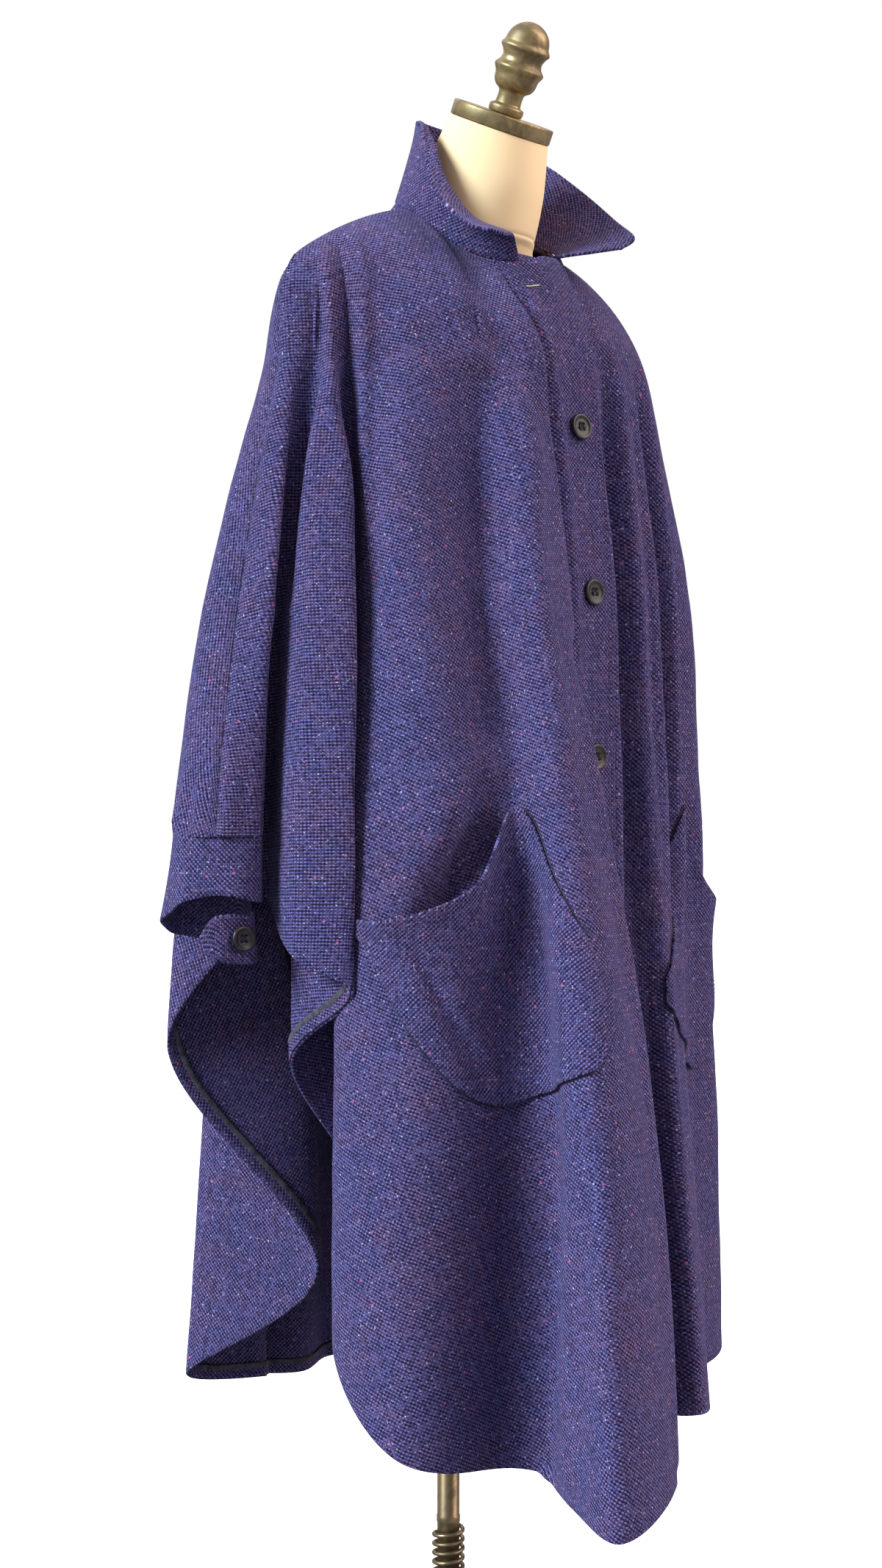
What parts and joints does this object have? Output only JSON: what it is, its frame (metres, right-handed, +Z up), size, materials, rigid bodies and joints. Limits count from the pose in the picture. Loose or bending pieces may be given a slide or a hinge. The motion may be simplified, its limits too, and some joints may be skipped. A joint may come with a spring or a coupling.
{
  "type": "wool cape coat on a limbless dress form",
  "caption": "Open-sided wool cape coat with stand collar, buttoned front band, slanted patch pockets and tab cuffs, worn on a limbless linen dress form with turned finial and pole stand.",
  "frame": {"origin": "centre of the underside of the stand's round base, on the floor", "axes": "+Z up, -Y the way the wearer faces, -X the wearer's right"},
  "size_m": [0.6748, 0.5958, 1.6255],
  "materials": {
    "wool": "napped tweed, dark navy and periwinkle yarns",
    "linen": "plain cream linen cover",
    "dark_button": "polished dark grey",
    "aged_brass": "aged and worn",
    "bronze": "brushed bronze",
    "black_iron": "satin black"
  },
  "bodies": {
    "root": {"right_front": "wool", "left_front": "wool", "back": "wool", "front_band": "wool", "collar": "wool", "pocket_right": "wool", "pocket_left": "wool", "cuff_right": "wool", "cuff_left": "wool", "button_1": "dark_button", "button_2": "dark_button", "button_3": "dark_button", "button_4": "dark_button", "button_5": "dark_button", "cuff_button_right": "dark_button", "cuff_button_left": "dark_button", "form": "linen", "neck_cap": "aged_brass", "finial": "aged_brass", "pole": "bronze", "spring": "bronze", "base": "black_iron"}
  },
  "joints": []
}
